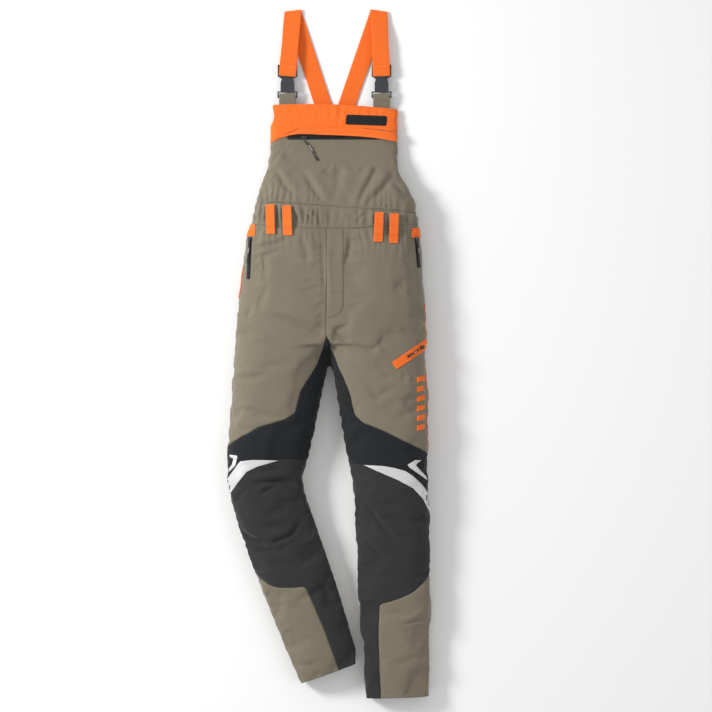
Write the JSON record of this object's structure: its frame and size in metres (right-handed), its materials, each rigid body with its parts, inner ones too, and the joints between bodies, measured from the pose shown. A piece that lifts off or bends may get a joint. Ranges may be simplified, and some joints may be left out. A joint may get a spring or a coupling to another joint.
{
  "type": "chainsaw protective bib trousers",
  "caption": "Padded forestry bib-and-brace trousers laid on their back, with buckled straps, a bib pocket, belt loops, zip pockets and dark knee panels with reflective flashes.",
  "frame": {"origin": "on the floor, under the middle of the garment's box, laid on its back", "axes": "+X towards the wearer's left side, +Y towards the shoulders, +Z out of the front of the garment"},
  "size_m": [0.4568, 1.5462, 0.0935],
  "materials": {
    "olive_cloth": "matt woven polyester-cotton",
    "black_stretch": "matt stretch cloth",
    "dark_grey_cloth": "matt hard-wearing ripstop",
    "orange_cloth": "matt woven cloth",
    "reflective_tape": "satin reflective film on cloth",
    "cut_inlay": "loose layered fibre",
    "orange_webbing": "woven elastic webbing",
    "olive_webbing": "woven webbing",
    "charcoal_plastic": "fine moulded grain",
    "zip_metal": "dark gunmetal",
    "black_cord": "moulded pull"
  },
  "bodies": {
    "root": {"right_front_thigh": "olive_cloth", "right_inner_thigh": "black_stretch", "right_back_thigh": "olive_cloth", "right_thigh_inlay": "cut_inlay", "left_front_thigh": "olive_cloth", "left_inner_thigh": "black_stretch", "left_back_thigh": "olive_cloth", "left_thigh_inlay": "cut_inlay", "waistband_front": "olive_cloth", "waistband_back": "olive_cloth", "right_outer_belt_loop": "orange_cloth", "right_inner_belt_loop": "orange_cloth", "left_inner_belt_loop": "orange_cloth", "left_outer_belt_loop": "orange_cloth", "fly_facing": "olive_cloth", "fly_zip_tape": "black_stretch", "waist_button": "zip_metal", "right_hip_pocket_welt": "orange_cloth", "right_hip_pocket_bag": "black_stretch", "left_hip_pocket_welt": "orange_cloth", "left_hip_pocket_bag": "black_stretch", "thigh_pocket_welt": "orange_cloth"},
    "bib": {"bib_panel": "olive_cloth", "back_bib_panel": "olive_cloth", "bib_yoke": "orange_cloth", "bib_zip_tape": "black_stretch", "bib_pocket_bag": "black_stretch", "right_strap": "orange_webbing", "left_strap": "orange_webbing", "right_buckle_tab": "olive_webbing", "left_buckle_tab": "olive_webbing", "right_buckle_female": "charcoal_plastic", "left_buckle_female": "charcoal_plastic"},
    "bib_flap": {"bib_pocket_flap": "orange_cloth"},
    "bib_slider": {"bib_zip_slider": "zip_metal"},
    "bib_pull": {"bib_zip_pull": "black_cord"},
    "fly_slider": {"fly_zip_slider": "zip_metal"},
    "thigh_slider": {"thigh_pocket_zip_slider": "zip_metal"},
    "thigh_pull": {"thigh_pocket_zip_pull": "black_cord"},
    "right_shin": {"right_front_shin": "dark_grey_cloth", "right_ankle_patch": "olive_cloth", "right_back_shin": "olive_cloth", "right_shin_inlay": "cut_inlay", "right_knee_flash": "reflective_tape"},
    "right_hip_slider": {"right_hip_zip_slider": "zip_metal"},
    "right_hip_pull": {"right_hip_zip_pull": "black_cord"},
    "right_male": {"right_buckle_male": "charcoal_plastic"},
    "right_outer_arm": {"right_buckle_outer_arm": "charcoal_plastic"},
    "right_inner_arm": {"right_buckle_inner_arm": "charcoal_plastic"},
    "left_shin": {"left_front_shin": "dark_grey_cloth", "left_ankle_patch": "olive_cloth", "left_back_shin": "olive_cloth", "left_shin_inlay": "cut_inlay", "left_knee_flash": "reflective_tape"},
    "left_hip_slider": {"left_hip_zip_slider": "zip_metal"},
    "left_hip_pull": {"left_hip_zip_pull": "black_cord"},
    "left_male": {"left_buckle_male": "charcoal_plastic"},
    "left_outer_arm": {"left_buckle_outer_arm": "charcoal_plastic"},
    "left_inner_arm": {"left_buckle_inner_arm": "charcoal_plastic"}
  },
  "joints": [
    {"name": "bib_fold", "type": "hinge", "parent": "root", "child": "bib", "pos_m": [0.012, 0.3112, 0.093], "axis": [1, 0, 0], "range_deg": [0, 120]},
    {"name": "right_knee_fold", "type": "hinge", "parent": "root", "child": "right_shin", "pos_m": [-0.145, -0.236, 0.09], "axis": [-1, 0, 0], "range_deg": [0, 115]},
    {"name": "left_knee_fold", "type": "hinge", "parent": "root", "child": "left_shin", "pos_m": [0.135, -0.236, 0.09], "axis": [-1, 0, 0], "range_deg": [0, 115]},
    {"name": "pocket_flap_lift", "type": "hinge", "parent": "bib", "child": "bib_flap", "pos_m": [0.012, 0.5033, 0.035], "axis": [-1, 0, 0], "range_deg": [0, 110]},
    {"name": "bib_zip_slide", "type": "slide", "parent": "bib", "child": "bib_slider", "axis": [1, 0, 0], "range_m": [0, 0.15]},
    {"name": "bib_pull_swing", "type": "hinge", "parent": "bib_slider", "child": "bib_pull", "pos_m": [-0.05643, 0.4743, 0.03], "axis": [-0.0126, 0.2385, 0.9711], "range_deg": [-25, 25]},
    {"name": "fly_zip_slide", "type": "slide", "parent": "root", "child": "fly_slider", "axis": [0, -0.9986, 0.0521], "range_m": [0, 0.15]},
    {"name": "thigh_zip_slide", "type": "slide", "parent": "root", "child": "thigh_slider", "axis": [-0.6753, -0.4585, 0.5777], "range_m": [0, 0.03]},
    {"name": "thigh_pull_lift", "type": "hinge", "parent": "thigh_slider", "child": "thigh_pull", "pos_m": [0.199, 0.0082, 0.0766], "axis": [-0.5181, 0.8493, 0.1014], "range_deg": [0, 120]},
    {"name": "right_hip_zip_slide", "type": "slide", "parent": "root", "child": "right_hip_slider", "axis": [-0.1044, -0.9935, 0.0451], "range_m": [0, 0.09]},
    {"name": "right_hip_pull_lift", "type": "hinge", "parent": "right_hip_slider", "child": "right_hip_pull", "pos_m": [-0.17879, 0.2456, 0.06102], "axis": [-0.7506, 0.0416, -0.6595], "range_deg": [0, 75]},
    {"name": "left_hip_zip_slide", "type": "slide", "parent": "root", "child": "left_hip_slider", "axis": [0.1045, -0.9945, -0.0077], "range_m": [0, 0.06]},
    {"name": "left_hip_pull_lift", "type": "hinge", "parent": "left_hip_slider", "child": "left_hip_pull", "pos_m": [0.19598, 0.24549, 0.06171], "axis": [-0.7326, -0.0807, 0.6758], "range_deg": [0, 75]},
    {"name": "right_buckle_release", "type": "slide", "parent": "bib", "child": "right_male", "axis": [0, 1, 0], "range_m": [0, 0.028]},
    {"name": "right_outer_arm_squeeze", "type": "hinge", "parent": "right_male", "child": "right_outer_arm", "pos_m": [-0.10603, 0.61549, 0.014], "axis": [0, 0, 1], "range_deg": [0, 7], "stiffness_Nm_per_rad": 0.05},
    {"name": "right_inner_arm_squeeze", "type": "hinge", "parent": "right_male", "child": "right_inner_arm", "pos_m": [-0.08283, 0.61549, 0.014], "axis": [0, 0, -1], "range_deg": [0, 7], "stiffness_Nm_per_rad": 0.05},
    {"name": "left_buckle_release", "type": "slide", "parent": "bib", "child": "left_male", "axis": [0, 1, 0], "range_m": [0, 0.028]},
    {"name": "left_outer_arm_squeeze", "type": "hinge", "parent": "left_male", "child": "left_outer_arm", "pos_m": [0.10497, 0.61549, 0.014], "axis": [0, 0, 1], "range_deg": [0, 7], "stiffness_Nm_per_rad": 0.05},
    {"name": "left_inner_arm_squeeze", "type": "hinge", "parent": "left_male", "child": "left_inner_arm", "pos_m": [0.12817, 0.61549, 0.014], "axis": [0, 0, -1], "range_deg": [0, 7], "stiffness_Nm_per_rad": 0.05}
  ],
  "couplings": [
    {"joint": "right_inner_arm_squeeze", "follows": "right_outer_arm_squeeze", "ratio": 1},
    {"joint": "left_inner_arm_squeeze", "follows": "left_outer_arm_squeeze", "ratio": 1}
  ]
}
